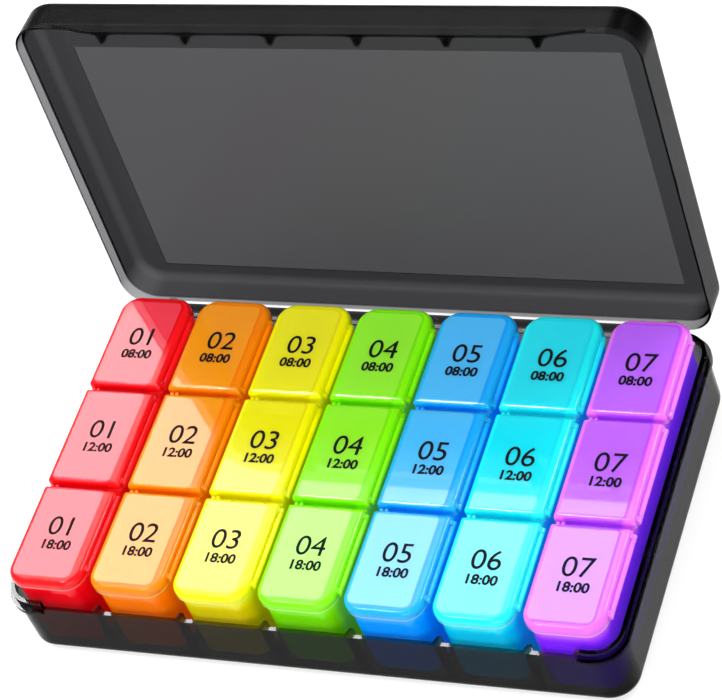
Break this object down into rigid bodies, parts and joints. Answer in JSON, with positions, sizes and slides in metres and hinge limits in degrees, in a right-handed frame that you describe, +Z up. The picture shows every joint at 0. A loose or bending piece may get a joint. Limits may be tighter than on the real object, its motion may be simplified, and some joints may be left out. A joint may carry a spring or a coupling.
{
  "type": "weekly pill box",
  "caption": "Smoked flip-top case that holds a row of lift-out day boxes, each a coloured translucent box of compartments closed by side-hinged flip lids for morning, noon and evening pills.",
  "frame": {"origin": "middle of the flat underside of the tray", "axes": "+Z up, +X along the row of day boxes from first to last, +Y towards the case hinge; rest pose has the case lid open"},
  "size_m": [0.1944, 0.1381, 0.1394],
  "materials": {
    "smoked_plastic": "smoked translucent moulded plastic, glossy outside",
    "steel": "plain drawn wire",
    "red_plastic": "translucent coloured moulded plastic, glossy",
    "orange_plastic": "translucent coloured moulded plastic, glossy",
    "yellow_plastic": "translucent coloured moulded plastic, glossy",
    "green_plastic": "translucent coloured moulded plastic, glossy",
    "blue_plastic": "translucent coloured moulded plastic, glossy",
    "turquoise_plastic": "translucent coloured moulded plastic, glossy",
    "violet_plastic": "translucent coloured moulded plastic, glossy"
  },
  "bodies": {
    "tray": {"case_tray": "smoked_plastic"},
    "case_lid": {"case_lid": "smoked_plastic", "case_hinge_pin_left": "steel", "case_hinge_pin_right": "steel"},
    "day_1_box": {"day_1_box": "red_plastic"},
    "day_1_evening_lid": {"day_1_evening_lid": "red_plastic"},
    "day_1_noon_lid": {"day_1_noon_lid": "red_plastic"},
    "day_1_morning_lid": {"day_1_morning_lid": "red_plastic"},
    "day_2_box": {"day_2_box": "orange_plastic"},
    "day_2_evening_lid": {"day_2_evening_lid": "orange_plastic"},
    "day_2_noon_lid": {"day_2_noon_lid": "orange_plastic"},
    "day_2_morning_lid": {"day_2_morning_lid": "orange_plastic"},
    "day_3_box": {"day_3_box": "yellow_plastic"},
    "day_3_evening_lid": {"day_3_evening_lid": "yellow_plastic"},
    "day_3_noon_lid": {"day_3_noon_lid": "yellow_plastic"},
    "day_3_morning_lid": {"day_3_morning_lid": "yellow_plastic"},
    "day_4_box": {"day_4_box": "green_plastic"},
    "day_4_evening_lid": {"day_4_evening_lid": "green_plastic"},
    "day_4_noon_lid": {"day_4_noon_lid": "green_plastic"},
    "day_4_morning_lid": {"day_4_morning_lid": "green_plastic"},
    "day_5_box": {"day_5_box": "blue_plastic"},
    "day_5_evening_lid": {"day_5_evening_lid": "blue_plastic"},
    "day_5_noon_lid": {"day_5_noon_lid": "blue_plastic"},
    "day_5_morning_lid": {"day_5_morning_lid": "blue_plastic"},
    "day_6_box": {"day_6_box": "turquoise_plastic"},
    "day_6_evening_lid": {"day_6_evening_lid": "turquoise_plastic"},
    "day_6_noon_lid": {"day_6_noon_lid": "turquoise_plastic"},
    "day_6_morning_lid": {"day_6_morning_lid": "turquoise_plastic"},
    "day_7_box": {"day_7_box": "violet_plastic"},
    "day_7_evening_lid": {"day_7_evening_lid": "violet_plastic"},
    "day_7_noon_lid": {"day_7_noon_lid": "violet_plastic"},
    "day_7_morning_lid": {"day_7_morning_lid": "violet_plastic"}
  },
  "joints": [
    {"name": "case_lid_hinge", "type": "hinge", "parent": "tray", "child": "case_lid", "pos_m": [0, 0.0589, 0.0221], "axis": [-1, 0, 0], "range_deg": [-94.2, 0]},
    {"name": "day_1_lift", "type": "slide", "parent": "tray", "child": "day_1_box", "axis": [0, 0, 1], "range_m": [0, 0.04]},
    {"name": "day_1_evening_lid_hinge", "type": "hinge", "parent": "day_1_box", "child": "day_1_evening_lid", "pos_m": [-0.0687, -0.0372, 0.03], "axis": [0, 1, 0], "range_deg": [0, 95]},
    {"name": "day_1_noon_lid_hinge", "type": "hinge", "parent": "day_1_box", "child": "day_1_noon_lid", "pos_m": [-0.0687, 0, 0.03], "axis": [0, 1, 0], "range_deg": [0, 95]},
    {"name": "day_1_morning_lid_hinge", "type": "hinge", "parent": "day_1_box", "child": "day_1_morning_lid", "pos_m": [-0.0687, 0.0372, 0.03], "axis": [0, 1, 0], "range_deg": [0, 95]},
    {"name": "day_2_lift", "type": "slide", "parent": "tray", "child": "day_2_box", "axis": [0, 0, 1], "range_m": [0, 0.04]},
    {"name": "day_2_evening_lid_hinge", "type": "hinge", "parent": "day_2_box", "child": "day_2_evening_lid", "pos_m": [-0.0417, -0.0372, 0.03], "axis": [0, 1, 0], "range_deg": [0, 95]},
    {"name": "day_2_noon_lid_hinge", "type": "hinge", "parent": "day_2_box", "child": "day_2_noon_lid", "pos_m": [-0.0417, 0, 0.03], "axis": [0, 1, 0], "range_deg": [0, 95]},
    {"name": "day_2_morning_lid_hinge", "type": "hinge", "parent": "day_2_box", "child": "day_2_morning_lid", "pos_m": [-0.0417, 0.0372, 0.03], "axis": [0, 1, 0], "range_deg": [0, 95]},
    {"name": "day_3_lift", "type": "slide", "parent": "tray", "child": "day_3_box", "axis": [0, 0, 1], "range_m": [0, 0.04]},
    {"name": "day_3_evening_lid_hinge", "type": "hinge", "parent": "day_3_box", "child": "day_3_evening_lid", "pos_m": [-0.0147, -0.0372, 0.03], "axis": [0, 1, 0], "range_deg": [0, 95]},
    {"name": "day_3_noon_lid_hinge", "type": "hinge", "parent": "day_3_box", "child": "day_3_noon_lid", "pos_m": [-0.0147, 0, 0.03], "axis": [0, 1, 0], "range_deg": [0, 95]},
    {"name": "day_3_morning_lid_hinge", "type": "hinge", "parent": "day_3_box", "child": "day_3_morning_lid", "pos_m": [-0.0147, 0.0372, 0.03], "axis": [0, 1, 0], "range_deg": [0, 95]},
    {"name": "day_4_lift", "type": "slide", "parent": "tray", "child": "day_4_box", "axis": [0, 0, 1], "range_m": [0, 0.04]},
    {"name": "day_4_evening_lid_hinge", "type": "hinge", "parent": "day_4_box", "child": "day_4_evening_lid", "pos_m": [0.0123, -0.0372, 0.03], "axis": [0, 1, 0], "range_deg": [0, 95]},
    {"name": "day_4_noon_lid_hinge", "type": "hinge", "parent": "day_4_box", "child": "day_4_noon_lid", "pos_m": [0.0123, 0, 0.03], "axis": [0, 1, 0], "range_deg": [0, 95]},
    {"name": "day_4_morning_lid_hinge", "type": "hinge", "parent": "day_4_box", "child": "day_4_morning_lid", "pos_m": [0.0123, 0.0372, 0.03], "axis": [0, 1, 0], "range_deg": [0, 95]},
    {"name": "day_5_lift", "type": "slide", "parent": "tray", "child": "day_5_box", "axis": [0, 0, 1], "range_m": [0, 0.04]},
    {"name": "day_5_evening_lid_hinge", "type": "hinge", "parent": "day_5_box", "child": "day_5_evening_lid", "pos_m": [0.0393, -0.0372, 0.03], "axis": [0, 1, 0], "range_deg": [0, 95]},
    {"name": "day_5_noon_lid_hinge", "type": "hinge", "parent": "day_5_box", "child": "day_5_noon_lid", "pos_m": [0.0393, 0, 0.03], "axis": [0, 1, 0], "range_deg": [0, 95]},
    {"name": "day_5_morning_lid_hinge", "type": "hinge", "parent": "day_5_box", "child": "day_5_morning_lid", "pos_m": [0.0393, 0.0372, 0.03], "axis": [0, 1, 0], "range_deg": [0, 95]},
    {"name": "day_6_lift", "type": "slide", "parent": "tray", "child": "day_6_box", "axis": [0, 0, 1], "range_m": [0, 0.04]},
    {"name": "day_6_evening_lid_hinge", "type": "hinge", "parent": "day_6_box", "child": "day_6_evening_lid", "pos_m": [0.0663, -0.0372, 0.03], "axis": [0, 1, 0], "range_deg": [0, 95]},
    {"name": "day_6_noon_lid_hinge", "type": "hinge", "parent": "day_6_box", "child": "day_6_noon_lid", "pos_m": [0.0663, 0, 0.03], "axis": [0, 1, 0], "range_deg": [0, 95]},
    {"name": "day_6_morning_lid_hinge", "type": "hinge", "parent": "day_6_box", "child": "day_6_morning_lid", "pos_m": [0.0663, 0.0372, 0.03], "axis": [0, 1, 0], "range_deg": [0, 95]},
    {"name": "day_7_lift", "type": "slide", "parent": "tray", "child": "day_7_box", "axis": [0, 0, 1], "range_m": [0, 0.04]},
    {"name": "day_7_evening_lid_hinge", "type": "hinge", "parent": "day_7_box", "child": "day_7_evening_lid", "pos_m": [0.0933, -0.0372, 0.03], "axis": [0, 1, 0], "range_deg": [0, 95]},
    {"name": "day_7_noon_lid_hinge", "type": "hinge", "parent": "day_7_box", "child": "day_7_noon_lid", "pos_m": [0.0933, 0, 0.03], "axis": [0, 1, 0], "range_deg": [0, 95]},
    {"name": "day_7_morning_lid_hinge", "type": "hinge", "parent": "day_7_box", "child": "day_7_morning_lid", "pos_m": [0.0933, 0.0372, 0.03], "axis": [0, 1, 0], "range_deg": [0, 95]}
  ]
}
